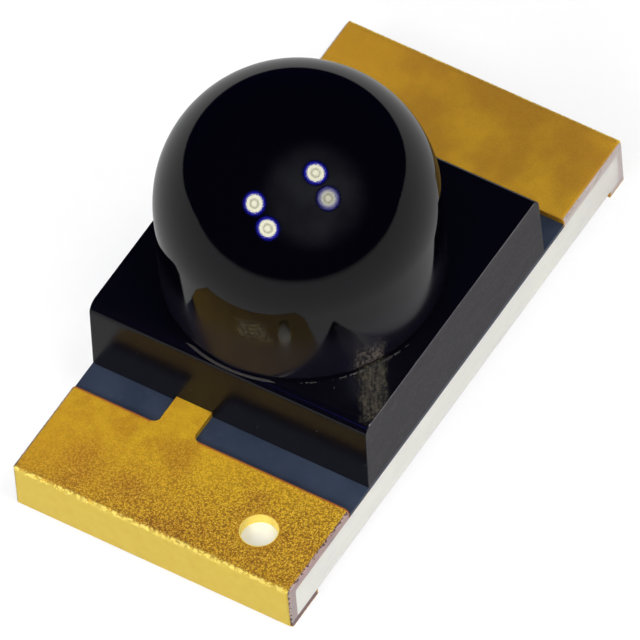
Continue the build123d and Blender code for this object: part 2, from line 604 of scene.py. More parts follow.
@dataclass(frozen=True)
class GoldFinish:
    """Matt gold plating with crystal grain, brown in patches, redder on the rim beside the resist, with
    painted highlights on the grain, the crinkled outer edge and the hole wall, and painted shade where
    mirrors see it.
    """

    name: str
    colour: Colour
    brown: Colour
    end_colour: Colour
    highlight_colour: Colour = (1.0, 0.82, 0.17)
    rim_colour: Colour = (0.42, 0.09, 0.015)
    rim_share: float = 0.9
    pit_colour: Colour = (0.24, 0.10, 0.004)
    metallic: float = 0.4
    grain_size: float = 0.0108
    grain_depth: float = 0.006
    roughness: float = 0.5
    pitting: float = 0.75
    coarseness: float = 1.0
    patch_size: float = 0.30
    fine_share: float = 0.25
    mirrored_shade_colour: Colour = (0.06, 0.08, 0.04)
    mirrored_shade_share: float = 0.55
    hole_at: tuple[float, float] = (-1.345, -0.477)
    hole_radius: float = 0.095
    pad_line: float = 1.025
    neck_y: float = 0.208
    outer: float = 1.6
    metal_top: float = 0.30

    def material(self) -> bpy.types.Material:
        """Builds the material.

        Returns:
            The gold.
        """
        m = Shader(self.name)
        reach = m.math("ABSOLUTE", m.x)
        patches = m.effect(Effect.mottle(), Size=self.patch_size, Contrast=0.5)["Mask"]
        fine_patches = m.effect(Effect.mottle(), Size=0.06, Contrast=0.4)["Mask"]
        grains = m.effect(Effect.grain(), Size=self.grain_size, Pitting=self.pitting)
        crinkle = m.effect(Effect.mottle(), Size=0.022, Contrast=0.7)["Mask"]
        # The grain is strongest towards the outer edge and the sawn side at -Y
        lead = m.math("MULTIPLY_ADD", m.y, -0.55, m.math("MULTIPLY", reach, 1.1))
        coarse = m.math("MULTIPLY_ADD", patches, 0.2, m.span(lead, 0.95, 1.75, 0.05, 0.8), clamp=True)
        on_end = m.span(reach, self.outer - 0.012, self.outer - 0.002)
        on_top = m.span(m.z, self.metal_top - 0.02, self.metal_top - 0.004)
        coarse = m.math("MULTIPLY", coarse, m.math("MULTIPLY_ADD", on_end, -0.75, 1.0))
        coarse = m.math("MULTIPLY", coarse, self.coarseness)
        tone = m.blend(m.math("MULTIPLY", m.span(patches, 0.4, 0.95), 0.6), self.colour, self.brown)
        tone = m.blend(m.math("MULTIPLY", fine_patches, self.fine_share), tone, self.brown)
        tone = m.blend(m.span(m.y, -0.3, 0.8, 0.0, 0.3), tone, self.brown)
        tone = m.blend(m.span(reach, 1.15, 1.5, 0.0, 0.3), tone, self.brown)
        speckle = m.math("MULTIPLY", m.span(grains["Height"], 0.515, 0.445), coarse, clamp=True)
        tone = m.blend(speckle, tone, self.pit_colour)
        # Painted highlight: the tops of the grain are painted bright yellow as glints
        gleam = m.math("MULTIPLY", m.span(grains["Height"], 0.56, 0.68), m.math("MULTIPLY", coarse, 0.6))
        tone = m.blend(gleam, tone, self.highlight_colour)
        pitted = m.math("MULTIPLY", grains["Pits"], coarse)
        tone = m.blend(m.math("MULTIPLY", pitted, 0.6), tone, self.pit_colour)
        worn_end = m.math("MULTIPLY_ADD", fine_patches, -0.12, 1.0)
        tone = m.blend(m.math("MULTIPLY", on_end, worn_end), tone, self.end_colour)
        near_edge = m.math("MULTIPLY", m.span(reach, self.outer - 0.045, self.outer - 0.015), on_top)
        outward = m.span(reach, self.outer - 0.022, self.outer - 0.010)
        upward = m.span(m.z, self.metal_top - 0.035, self.metal_top - 0.012)
        crest = m.math("MULTIPLY", outward, upward)
        wrinkled = m.math("MULTIPLY", crinkle, 0.35)
        tone = m.blend(m.math("MULTIPLY", near_edge, wrinkled), tone, self.pit_colour)
        # Painted highlight: bright yellow glints painted on the crinkle along the rounded top of the outer
        # end
        gleaming = m.span(crinkle, 0.35, 0.7, 0.1, 0.85)
        tone = m.blend(m.math("MULTIPLY", crest, gleaming), tone, self.highlight_colour)
        from_resist = m.math("ABSOLUTE", m.math("SUBTRACT", reach, self.pad_line + 0.002))
        beside_resist = m.span(from_resist, 0.011, 0.003)
        from_neck = m.math("ABSOLUTE", m.math("SUBTRACT", m.y, self.neck_y))
        off_neck = m.math("GREATER_THAN", from_neck, 0.135)
        rim = m.math("MULTIPLY", m.math("MULTIPLY", beside_resist, off_neck), self.rim_share)
        tone = m.blend(rim, tone, self.rim_colour)
        from_hole = m.add("ShaderNodeVectorMath", operation="DISTANCE")
        flat = m.add("ShaderNodeCombineXYZ")
        m.put(flat.inputs[0], m.x)
        m.put(flat.inputs[1], m.y)
        m.put(from_hole.inputs[0], flat.outputs[0])
        from_hole.inputs[1].default_value = (*self.hole_at, 0.0)
        on_pad = m.span(m.z, self.metal_top - 0.075, self.metal_top - 0.065)
        away = m.math("ADD", from_hole.outputs["Value"], m.math("SUBTRACT", 1.0, on_pad))
        wall = m.span(away, self.hole_radius + 0.008, self.hole_radius + 0.001)
        bank = m.math("MULTIPLY", m.span(away, self.hole_radius + 0.028, self.hole_radius + 0.012), 0.45)
        tone = m.blend(m.math("MULTIPLY", bank, self.coarseness), tone, self.brown)
        # Painted highlight: the wall of the mark hole is painted bright yellow, as if lit
        tone = m.blend(m.math("MULTIPLY", wall, 0.9), tone, self.highlight_colour)
        # Painted shade: rays from mirrors see the gold darker, so the black epoxy mirrors it duller than it
        # is seen directly
        mirrored = m.add("ShaderNodeLightPath").outputs["Is Glossy Ray"]
        tone = m.blend(m.math("MULTIPLY", mirrored, self.mirrored_shade_share), tone, self.mirrored_shade_colour)
        share = m.math("MULTIPLY_ADD", coarse, 0.85, 0.12)
        fine = m.relief(m.math("MULTIPLY", grains["Height"], share), self.grain_depth)
        normal = m.relief(m.math("MULTIPLY", crinkle, crest), 0.006, fine)
        rough = m.math("MULTIPLY_ADD", fine_patches, 0.10, self.roughness)
        m.set(Base_Color=tone, Metallic=self.metallic, Roughness=rough, Normal=normal)
        return m.material


@dataclass(frozen=True)
class SawnCopperFinish:
    """Copper where the dicing saw cut it: pink with drag marks, a dark ragged line under the plating."""

    name: str = "sawn_copper"
    colour: Colour = (0.60, 0.39, 0.35)
    dragged: Colour = (0.36, 0.31, 0.30)
    pale: Colour = (0.74, 0.66, 0.60)
    dark: Colour = (0.07, 0.035, 0.035)
    outer: float = 1.592
    metal_top: float = 0.292
    foot_top: float = 0.04

    def material(self) -> bpy.types.Material:
        """Builds the material.

        Returns:
            The copper.
        """
        m = Shader(self.name)
        marks = m.effect(Effect.saw_marks(), Pitch=0.009, Chipping=0.8)
        slow = m.effect(Effect.mottle(), Size=0.12, Contrast=0.7)["Mask"]
        seam_mottle = m.effect(Effect.mottle(), Size=0.014, Contrast=0.6)["Mask"]
        ragged = m.math("MULTIPLY_ADD", seam_mottle, 0.014, -0.006)
        tone = m.blend(m.span(marks["Streak"], 0.35, 0.7), self.colour, self.dragged)
        tone = m.blend(m.math("MULTIPLY", slow, 0.35), tone, (0.70, 0.55, 0.50))
        tone = m.blend(m.math("MULTIPLY", marks["Chips"], 0.7), tone, self.dark)
        end_wall = m.span(m.math("ABSOLUTE", m.x), 1.537, 1.545)
        scored = m.math("MULTIPLY", end_wall, m.span(marks["Height"], 0.42, 0.58))
        tone = m.blend(scored, tone, (0.50, 0.47, 0.45))
        foot = m.math("MULTIPLY", m.span(m.z, self.foot_top, self.foot_top - 0.006), 0.75)
        tone = m.blend(foot, tone, (0.20, 0.13, 0.135))
        tone = m.blend(m.span(m.x, -0.6, 1.1, 0.0, 0.85), tone, self.pale)
        # A dark ragged line under the plating and behind the end, stronger towards the near end
        below_top = m.math("ADD", m.math("SUBTRACT", self.metal_top, m.z), ragged)
        behind_end = m.math("ADD", m.math("SUBTRACT", self.outer, m.math("ABSOLUTE", m.x)), ragged)
        dark_seam = m.span(m.math("MINIMUM", below_top, behind_end), 0.008, 0.002)
        dark_seam = m.math("MULTIPLY", dark_seam, m.span(m.x, 0.8, -0.5, 0.15, 0.9))
        tone = m.blend(dark_seam, tone, self.dark)
        rough = m.math("MULTIPLY_ADD", slow, 0.15, 0.42)
        m.set(Base_Color=tone, Metallic=0.5, Roughness=rough, Normal=m.relief(marks["Height"], 0.003))
        return m.material


@dataclass(frozen=True)
class LaminateFinish:
    """White glass-filled laminate: saw marks on the long sides, a faint weave on the faces."""

    name: str = "white_laminate"
    colour: Colour = (0.755, 0.76, 0.67)
    shade: Colour = (0.62, 0.61, 0.56)
    cloth_pitch: float = 0.11

    def material(self) -> bpy.types.Material:
        """Builds the material.

        Returns:
            The laminate.
        """
        m = Shader(self.name)
        marks = m.effect(Effect.saw_marks(), Pitch=0.016, Chipping=0.35)
        slow = m.effect(Effect.mottle(), Size=0.25, Contrast=0.3)["Mask"]
        facing = m.add("ShaderNodeNewGeometry")
        turned = m.add("ShaderNodeSeparateXYZ")
        m.put(turned.inputs[0], facing.outputs["Normal"])
        sawn = m.math("GREATER_THAN", m.math("ABSOLUTE", turned.outputs[1]), 0.7)
        warp = m.math("SINE", m.math("MULTIPLY", m.x, 2 * math.pi / self.cloth_pitch))
        weft = m.math("SINE", m.math("MULTIPLY", m.y, 2 * math.pi / self.cloth_pitch))
        cloth = m.math("MULTIPLY_ADD", m.math("MULTIPLY", warp, weft), 0.5, 0.5)
        tone = m.blend(m.math("MULTIPLY", m.span(marks["Streak"], 0.4, 0.75), 0.35), self.colour, self.shade)
        tone = m.blend(m.math("MULTIPLY", slow, 0.18), tone, self.shade)
        tone = m.blend(m.math("MULTIPLY", marks["Chips"], 0.25), tone, (0.55, 0.54, 0.52))
        plain = m.blend(m.math("MULTIPLY", cloth, 0.10), self.colour, self.shade)
        tone = m.blend(m.span(m.x, 0.9, 1.6, 0.0, 0.4), tone, (0.56, 0.50, 0.44))
        tone = m.blend(sawn, plain, tone)
        height = m.math("ADD", m.math("MULTIPLY", marks["Height"], sawn), m.math("MULTIPLY", cloth, 0.2))
        rough = m.math("MULTIPLY_ADD", slow, 0.12, 0.62)
        m.set(Base_Color=tone, Roughness=rough, Normal=m.relief(height, 0.003))
        return m.material


@dataclass(frozen=True)
class ResistFinish:
    """Dark slate-blue resist film, satin, lighter in soft patches."""

    name: str = "blue_resist"
    colour: Colour = (0.020, 0.030, 0.052)
    light: Colour = (0.036, 0.052, 0.086)

    def material(self) -> bpy.types.Material:
        """Builds the material.

        Returns:
            The resist.
        """
        m = Shader(self.name)
        slow = m.effect(Effect.mottle(), Size=0.2, Contrast=0.5)["Mask"]
        grains = m.effect(Effect.grain(), Size=0.02, Pitting=0.35)
        tone = m.blend(m.math("MULTIPLY", slow, 0.5), self.colour, self.light)
        tone = m.blend(m.math("MULTIPLY", grains["Pits"], 0.15), tone, (0.10, 0.12, 0.17))
        rough = m.math("MULTIPLY_ADD", slow, 0.12, 0.34)
        m.set(Base_Color=tone, Roughness=rough, IOR=1.5, Normal=m.relief(grains["Height"], 0.0012))
        return m.material


@dataclass(frozen=True)
class Spot:
    """A spot on the barrel, used for a scuff and for a painted glint: its place from above, the heights it
    fades out at, and its tone.
    """

    at: tuple[float, float]
    low: float
    low_fade: float
    top: float
    top_fade: float
    tone: Colour


@dataclass(frozen=True)
class MouldedEpoxyFinish:
    """Black infrared-passing epoxy as it left the mould, with a scuffed streak where one is given."""

    name: str
    roughness: float
    colour: Colour = (0.0016, 0.0015, 0.0030)
    texture_size: float = 0.012
    texture_depth: float = 0.0002
    specular: float = 0.4
    wave_depth: float = 0.0001
    wave_size: float = 0.3
    dust: float = 0.15
    end_roughness: float = 0.0
    foot_roughness: float = 0.0
    foot_from: float = 1.25
    foot_to: float = 0.85
    foot_haze: Colour = (0.0045, 0.0040, 0.0080)
    spots: tuple[Spot, ...] = ()
    scuff_from: Optional[tuple[float, float]] = None
    scuff_to: tuple[float, float] = (0.0, 0.0)
    scuff_width: float = 0.14
    scuff_level: float = 0.715

    def _scuff(self, m: Shader) -> bpy.types.NodeSocket:
        """Builds the mask of the streak on the block's top.

        Args:
            m: The material's sketch.

        Returns:
            The mask.
        """
        start, end = Vector(self.scuff_from), Vector(self.scuff_to)
        along = (end - start).normalized()
        place = m.add("ShaderNodeVectorMath", operation="SUBTRACT")
        m.put(place.inputs[0], m.place)
        place.inputs[1].default_value = (start.x, start.y, 0.0)
        parts = []
        for direction in ((along.x, along.y, 0.0), (-along.y, along.x, 0.0)):
            dot = m.add("ShaderNodeVectorMath", operation="DOT_PRODUCT")
            m.put(dot.inputs[0], place.outputs[0])
            dot.inputs[1].default_value = direction
            parts.append(dot.outputs["Value"])
        ragged = m.math("MULTIPLY_ADD", m.noise(m.place, 14.0, 3.0), 0.07, -0.035)
        across = m.math("ABSOLUTE", m.math("ADD", parts[1], ragged))
        band = m.span(across, self.scuff_width * 0.62, self.scuff_width * 0.25)
        length = (end - start).length
        begun = m.span(parts[0], -0.04, 0.03)
        lengthwise = m.math("MULTIPLY", begun, m.span(parts[0], length + 0.03, length - 0.06))
        level = m.span(m.z, self.scuff_level - 0.012, self.scuff_level - 0.002)
        drawn = m.add("ShaderNodeCombineXYZ")
        m.put(drawn.inputs[0], m.math("MULTIPLY", parts[0], 0.12))
        m.put(drawn.inputs[1], parts[1])
        lines = m.span(m.noise(drawn.outputs[0], 75.0, 2.0), 0.35, 0.62, 0.5, 1.0)
        return m.math("MULTIPLY", m.math("MULTIPLY", m.math("MULTIPLY", band, lengthwise), level), lines)

    def material(self) -> bpy.types.Material:
        """Builds the material.

        Returns:
            The moulded epoxy.
        """
        m = Shader(self.name)
        grains = m.effect(Effect.grain(), Size=self.texture_size, Pitting=0.3)
        slow = m.effect(Effect.mottle(), Size=0.35, Contrast=0.4)["Mask"]
        dust = m.math("MULTIPLY", m.effect(Effect.grain(), Size=0.024, Pitting=0.0)["Pits"], self.dust)
        tone = m.blend(dust, self.colour, (0.05, 0.048, 0.045))
        rough = m.math("MULTIPLY_ADD", slow, 0.4 * self.roughness, self.roughness)
        rough = m.math("ADD", rough, m.math("MULTIPLY", dust, 0.5))
        if self.foot_roughness:
            foot = m.span(m.z, self.foot_from, self.foot_to)
            rough = m.math("MULTIPLY_ADD", foot, self.foot_roughness, rough)
            tone = m.blend(foot, tone, self.foot_haze)
        facing = m.add("ShaderNodeNewGeometry")
        turned = m.add("ShaderNodeSeparateXYZ")
        m.put(turned.inputs[0], facing.outputs["True Normal"])
        on_end = m.span(m.math("ABSOLUTE", turned.outputs[0]), 0.93, 0.995)
        rough = m.math("MULTIPLY_ADD", on_end, self.end_roughness, rough)
        height = m.math("MULTIPLY", grains["Height"], self.texture_depth)
        crumbs = m.effect(Effect.grain(), Size=0.02, Pitting=0.3)["Height"]
        if self.scuff_from:
            mask = self._scuff(m)
            speckled_share = m.math("MULTIPLY", mask, m.span(crumbs, 0.38, 0.64, 0.2, 1.0))
            tone = m.blend(m.math("MULTIPLY", speckled_share, 0.95), tone, (0.066, 0.058, 0.038))
            rough = m.math("MULTIPLY_ADD", mask, 0.35, rough)
            height = m.math("ADD", height, m.math("MULTIPLY", m.math("MULTIPLY", mask, crumbs), 0.004))
        # Spots on the barrel: a scuff, and a painted glint where the barrel mirrors the gold pad
        for spot in self.spots:
            flat = m.add("ShaderNodeCombineXYZ")
            m.put(flat.inputs[0], m.x)
            m.put(flat.inputs[1], m.y)
            away = m.add("ShaderNodeVectorMath", operation="DISTANCE")
            m.put(away.inputs[0], flat.outputs[0])
            away.inputs[1].default_value = (*spot.at, 0.0)
            ragged = m.math("MULTIPLY_ADD", m.noise(m.place, 16.0, 3.0), 0.08, -0.04)
            near = m.span(m.math("ADD", away.outputs["Value"], ragged), 0.11, 0.05)
            mask = m.math("MULTIPLY", near, m.span(m.z, spot.top, spot.top - spot.top_fade))
            mask = m.math("MULTIPLY", mask, m.span(m.z, spot.low, spot.low + spot.low_fade))
            speckled_share = m.math("MULTIPLY", mask, m.span(crumbs, 0.42, 0.64, 0.05, 1.0))
            tone = m.blend(m.math("MULTIPLY", speckled_share, 0.95), tone, spot.tone)
            rough = m.math("MULTIPLY_ADD", mask, 0.3, rough)
            height = m.math("ADD", height, m.math("MULTIPLY", m.math("MULTIPLY", mask, crumbs), 0.003))
        waves = m.relief(m.noise(m.place, 1 / self.wave_size, 1.0), self.wave_depth)
        m.set(Base_Color=tone, Roughness=rough, IOR=1.5, Specular_IOR_Level=self.specular)
        m.set(Normal=m.relief(height, 1.0, waves))
        return m.material


@dataclass(frozen=True)
class SawnEpoxyFinish:
    """The block's long sides, matt grey from the saw, with filler specks and a painted highlight along the
    top edge.
    """

    name: str = "sawn_epoxy"
    colour: Colour = (0.034, 0.031, 0.033)
    pale: Colour = (0.066, 0.062, 0.064)
    top: float = 0.715

    def material(self) -> bpy.types.Material:
        """Builds the material.

        Returns:
            The sawn epoxy.
        """
        m = Shader(self.name)
        marks = m.effect(Effect.saw_marks(), Pitch=0.011, Chipping=0.6)
        slow = m.effect(Effect.mottle(), Size=0.22, Contrast=0.5)["Mask"]
        specks = m.effect(Effect.grain(), Size=0.012, Pitting=0.7)["Pits"]
        tone = m.blend(m.math("MULTIPLY", m.span(marks["Streak"], 0.35, 0.75), 0.45), self.colour, self.pale)
        tone = m.blend(m.math("MULTIPLY", slow, 0.2), tone, (0.025, 0.024, 0.028))
        tone = m.blend(m.math("MULTIPLY", specks, 0.25), tone, (0.12, 0.115, 0.115))
        # Painted highlight: a lighter line along the top edge, broken up by the saw marks
        at_top = m.span(m.z, self.top - 0.014, self.top - 0.004)
        top_edge_highlight = m.math("MULTIPLY", at_top, m.span(marks["Height"], 0.35, 0.6, 0.35, 0.8))
        tone = m.blend(top_edge_highlight, tone, (0.14, 0.135, 0.14))
        m.set(Base_Color=tone, Roughness=0.72, IOR=1.5, Normal=m.relief(marks["Height"], 0.003))
        return m.material


@dataclass(frozen=True)
class PlainMetalFinish:
    """A sealed-in metal or glue: one colour family with fine grain."""

    name: str
    colour: Colour
    shade: Colour
    metallic: float
    roughness: float
    grain_size: float
    grain_depth: float

    def material(self) -> bpy.types.Material:
        """Builds the material.

        Returns:
            The metal.
        """
        m = Shader(self.name)
        grains = m.effect(Effect.grain(), Size=self.grain_size, Pitting=0.5)
        slow = m.effect(Effect.mottle(), Size=0.08, Contrast=0.5)["Mask"]
        tone = m.blend(m.math("MULTIPLY", slow, 0.4), self.colour, self.shade)
        tone = m.blend(m.math("MULTIPLY", grains["Pits"], 0.3), tone, self.shade)
        rough = m.math("MULTIPLY_ADD", slow, 0.1, self.roughness)
        m.set(Base_Color=tone, Metallic=self.metallic, Roughness=rough)
        m.set(Normal=m.relief(grains["Height"], self.grain_depth))
        return m.material


@dataclass(frozen=True)
class SiliconFinish:
    """Polished silicon chip: dark blue coated face with a pale guard line, grey sawn sides."""

    name: str = "coated_silicon"
    coating: Colour = (0.012, 0.020, 0.075)
    bare: Colour = (0.16, 0.16, 0.18)
    centre_x: float = -0.095
    half_side: float = 0.275
    guard_in: float = 0.035

    def material(self) -> bpy.types.Material:
        """Builds the material.

        Returns:
            The silicon.
        """
        m = Shader(self.name)
        from_middle = m.math("ABSOLUTE", m.math("SUBTRACT", m.x, self.centre_x))
        square = m.math("MAXIMUM", from_middle, m.math("ABSOLUTE", m.y))
        inside = m.span(square, self.half_side - self.guard_in, self.half_side - self.guard_in - 0.004)
        marks = m.effect(Effect.saw_marks(), Pitch=0.01, Chipping=0.6)
        slow = m.effect(Effect.mottle(), Size=0.1, Contrast=0.3)["Mask"]
        face = m.blend(m.math("MULTIPLY", slow, 0.3), self.coating, (0.02, 0.035, 0.10))
        border = m.blend(m.math("MULTIPLY", marks["Streak"], 0.4), self.bare, (0.3, 0.3, 0.31))
        tone = m.blend(inside, border, face)
        rough = m.math("MULTIPLY_ADD", inside, -0.3, 0.42)
        m.set(Base_Color=tone, Metallic=0.35, Roughness=rough, Normal=m.relief(marks["Height"], 0.0005))
        return m.material


# Sub-assemblies


@dataclass
class Levels:
    """Heights that the pieces share."""

    core_bottom: float = 0.04
    core_top: float = 0.24
    resist_top: float = 0.265
    metal_top: float = 0.30
    mould_top: float = 0.715


@dataclass
class Conductor:
    """One contact: copper round the board's end in a gold plated skin, with its neck and island."""

    end: End
    foot_length: float
    island_from: float
    island_to: float
    finish: GoldFinish
    levels: Levels = field(default_factory=Levels)
    half_length: float = 1.6
    half_width: float = 0.8
    core_half: float = 1.537
    plating: float = 0.008
    pad_line: float = 1.025
    neck_width: float = 0.205
    neck_y: float = 0.208
    neck_root: float = 0.037
    island_half_width: float = 0.3905
    edge_radius: float = 0.024
    saw_break: float = 0.018
    mark_radius: float = 0.0
    mark_at: tuple[float, float] = (0.0, 0.0)

    def _profile(self, inset: float) -> list[tuple[float, float]]:
        """The section along the board, seen from -Y, with the outer end at -X.

        Args:
            inset: How far the form lies inside the plated one.

        Returns:
            Corners as X and Z, in order.
        """
        outer = inset - self.half_length
        heel = self.foot_length - self.half_length - inset
        inner = -self.pad_line - inset
        return [
            (outer, inset),
            (heel, inset),
            (heel, self.levels.core_bottom),
            (-self.core_half, self.levels.core_bottom),
            (-self.core_half, self.levels.core_top),
            (inner, self.levels.core_top),
            (inner, self.levels.metal_top - inset),
            (outer, self.levels.metal_top - inset),
        ]

    def _drill(self, inset: float) -> bmesh.types.BMesh:
        """Models the round tool that makes the mark hole.

        Args:
            inset: How far the form lies inside the plated one.

        Returns:
            The tool, in millimetres.
        """
        x, y = self.mark_at
        low, high = self.levels.core_top - 0.05, self.levels.metal_top + 0.05
        bm = bmesh.new()
        bmesh.ops.create_cone(
            bm,
            cap_ends=True,
            segments=96,
            radius1=self.mark_radius + inset,
            radius2=self.mark_radius + inset,
            depth=high - low,
            matrix=Matrix.Translation((x, y, (low + high) / 2)),
        )
        return bm

    def form(self, inset: float) -> bmesh.types.BMesh:
        """Models the conductor's outer form as a closed solid, with its outer end at -X.

        Args:
            inset: 0 for the plated form, the plating's thickness for the copper inside.

        Returns:
            The form, in millimetres.
        """
        bm = bmesh.new()
        section = bm.faces.new([bm.verts.new((x, -self.half_width, z)) for x, z in self._profile(inset)])
        pull(bm, [section], (0, 2 * self.half_width, 0))
        bmesh.ops.recalc_face_normals(bm, faces=bm.faces[:])
        inner = -self.pad_line - inset
        neck = self.neck_width / 2 - inset
        for sign in (-1, 1):
            cut_faces(bm, faces_on(bm, 0, inner), (inner, self.neck_y + sign * neck, 0), (0, 1, 0))
        mouth = [f for f in faces_on(bm, 0, inner) if abs(f.calc_center_median().y - self.neck_y) < neck]
        pull(bm, mouth, (self.island_from - inner, 0, 0), keep=False)
        roots = [
            e
            for sign in (-1, 1)
            for e in edges_along(bm, 2, {0: inner, 1: self.neck_y + sign * neck})
        ]
        round_edges(bm, roots, self.neck_root + inset, 8)
        outer = inset - self.half_length
        top = self.levels.metal_top - inset
        long_edges = edges_along(bm, 1, {0: outer, 2: top}) + edges_along(bm, 1, {0: outer, 2: inset})
        round_edges(bm, long_edges, self.edge_radius - inset, 6)
        if self.mark_radius:
            bm = combine(bm, self._drill(inset), "DIFFERENCE")
        return bm

    def _break_rims(self, bm: bmesh.types.BMesh) -> None:
        """Takes the sawn rims off at 45 degrees, through plating and copper alike.

        Args:
            bm: The form, in millimetres.
        """
        for side in (-1, 1):
            edge = side * (self.half_width - self.saw_break)
            trim(bm, (0, edge, self.levels.metal_top), (0, side, 1))
            trim(bm, (-self.half_length, edge, 0), (-1, side, 0))

    def _face_out(self, bm: bmesh.types.BMesh) -> None:
        """Turns the form to its own end of the board and points its faces outwards.

        Args:
            bm: The form, in millimetres.
        """
        bmesh.ops.remove_doubles(bm, verts=bm.verts[:], dist=1e-5)
        if self.end is End.FAR:
            bmesh.ops.scale(bm, vec=(-1, 1, 1), verts=bm.verts[:])
        bmesh.ops.recalc_face_normals(bm, faces=bm.faces[:])

    def _island(self, bm: bmesh.types.BMesh, inset: float) -> None:
        """Adds the island under the moulding, where the neck ends.

        Args:
            bm: The form, in millimetres.
            inset: How far the form lies inside the plated one.
        """
        length = self.island_to - self.island_from - 2 * inset
        middle = (self.island_to + self.island_from) / 2
        low, high = self.levels.core_top, self.levels.metal_top - inset
        place = Matrix.Translation((middle, 0, (low + high) / 2)) @ Matrix.Diagonal(
            (length, 2 * (self.island_half_width - inset), high - low, 1)
        )
        bmesh.ops.create_cube(bm, size=1, matrix=place)

    def skin(self) -> bmesh.types.BMesh:
        """Models the gold plated skin.

        Returns:
            The skin, in millimetres.
        """
        bm = self.form(0.0)
        bare = faces_on(bm, 1, -self.half_width) + faces_on(bm, 1, self.half_width)
        bare += faces_on(bm, 0, -self.core_half) + faces_on(bm, 2, self.levels.core_top)
        bare += faces_on(bm, 2, self.levels.core_bottom)
        bmesh.ops.delete(bm, geom=list(set(bare)), context="FACES")
        bmesh.ops.recalc_face_normals(bm, faces=bm.faces[:])
        bmesh.ops.solidify(bm, geom=bm.faces[:], thickness=self.plating)
        self._break_rims(bm)
        self._island(bm, 0.0)
        self._face_out(bm)
        return bm

    def core(self) -> bmesh.types.BMesh:
        """Models the copper under the plating.

        Returns:
            The copper, in millimetres.
        """
        bm = self.form(self.plating)
        self._break_rims(bm)
        self._face_out(bm)
        return bm

    def build(self, copper: bpy.types.Material) -> list[bpy.types.Object]:
        """Builds and dresses both pieces.

        Args:
            copper: The sawn copper's material.

        Returns:
            The gold skin and the copper core.
        """
        label = self.end.name.lower()
        gold = self.finish.material()
        return [
            finished(self.skin(), f"{label}_gold_skin", [gold], [f"{label}_plating"]),
            finished(self.core(), f"{label}_copper_core", [copper], [f"{label}_copper"]),
        ]


@dataclass
class ResistFilm:
    """Printed film between the pads, cut out round the necks and islands."""

    finish: ResistFinish
    openings: Sequence[tuple[float, float, float, float]]
    levels: Levels = field(default_factory=Levels)
    pad_line: float = 1.025
    half_width: float = 0.8
    mouth_radius: float = 0.037
    edge_radius: float = 0.006

    def mesh(self) -> bmesh.types.BMesh:
        """Models the film.

        Returns:
            The film, in millimetres.
        """
        bm = bmesh.new()
        bmesh.ops.create_grid(bm, x_segments=1, y_segments=1, size=1)
        bmesh.ops.scale(bm, vec=(self.pad_line, self.half_width, 1), verts=bm.verts[:])
        bmesh.ops.translate(bm, verts=bm.verts[:], vec=(0, 0, self.levels.core_top))
        for x0, x1, y0, y1 in self.openings:
            for x in (x0, x1):
                if abs(x) < self.pad_line - 1e-4:
                    cut_faces(bm, bm.faces[:], (x, 0, 0), (1, 0, 0))
            for y in (y0, y1):
                cut_faces(bm, bm.faces[:], (0, y, 0), (0, 1, 0))
        doomed = [f for f in bm.faces if self._open(f.calc_center_median())]
        bmesh.ops.delete(bm, geom=doomed, context="FACES")
        bmesh.ops.dissolve_limit(bm, angle_limit=0.01, verts=bm.verts[:], edges=bm.edges[:])
        pull(bm, bm.faces[:], (0, 0, self.levels.resist_top - self.levels.core_top))
        bmesh.ops.recalc_face_normals(bm, faces=bm.faces[:])
        mouths = [
            e
            for x0, x1, y0, y1 in self.openings
            for x in (x0, x1)
            if abs(abs(x) - self.pad_line) < 1e-4
            for y in (y0, y1)
            for e in edges_along(bm, 2, {0: x, 1: y})
        ]
        round_edges(bm, mouths, self.mouth_radius, 8)
        return bm

    def _open(self, point: Vector) -> bool:
        """Whether a point lies in an opening of the film."""
        return any(x0 < point.x < x1 and y0 < point.y < y1 for x0, x1, y0, y1 in self.openings)

    def build(self) -> bpy.types.Object:
        """Builds and dresses the film.

        Returns:
            The film.
        """
        return finished(self.mesh(), "resist_film", [self.finish.material()], ["solder_resist"])


